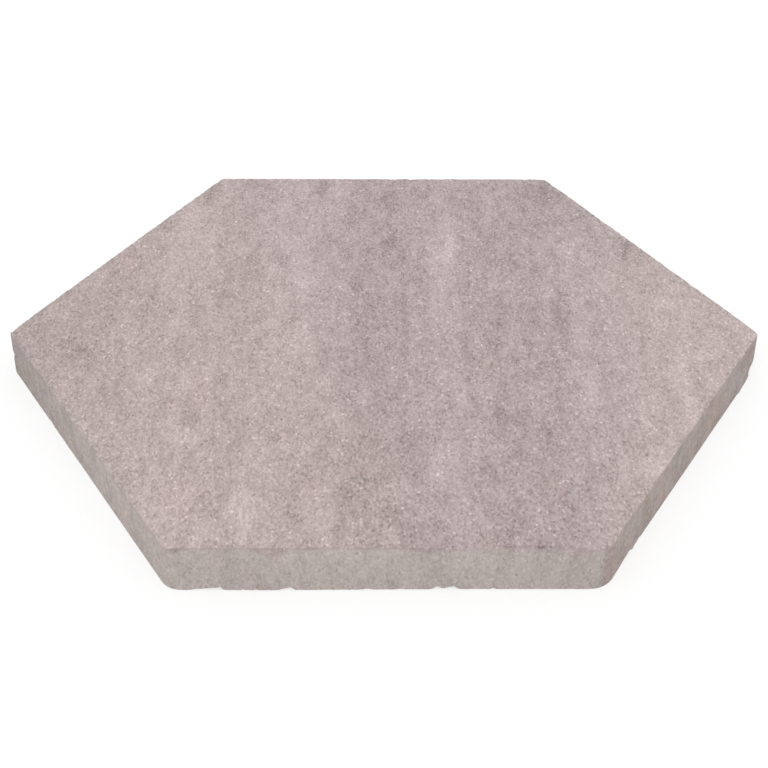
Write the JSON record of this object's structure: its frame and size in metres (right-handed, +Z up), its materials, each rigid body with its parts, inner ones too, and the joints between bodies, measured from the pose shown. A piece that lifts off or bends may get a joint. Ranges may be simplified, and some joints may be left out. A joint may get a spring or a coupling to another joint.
{
  "type": "hexagonal paving slab",
  "caption": "Flat hexagonal paving slab of pressed concrete with a mauve-grey coloured top and plain grey sides, laid edge to edge as a terrace or path.",
  "frame": {"origin": "middle of the bed face, which lies on the ground", "axes": "+Z up through the thickness, +X along the long diagonal to a corner, +Y square to a side"},
  "size_m": [0.5974, 0.5196, 0.038],
  "materials": {
    "pressed_concrete": "fine-grained pressed concrete, matt, mauve-grey top and grey sides"
  },
  "bodies": {
    "root": {"hex_slab": "pressed_concrete"}
  },
  "joints": []
}
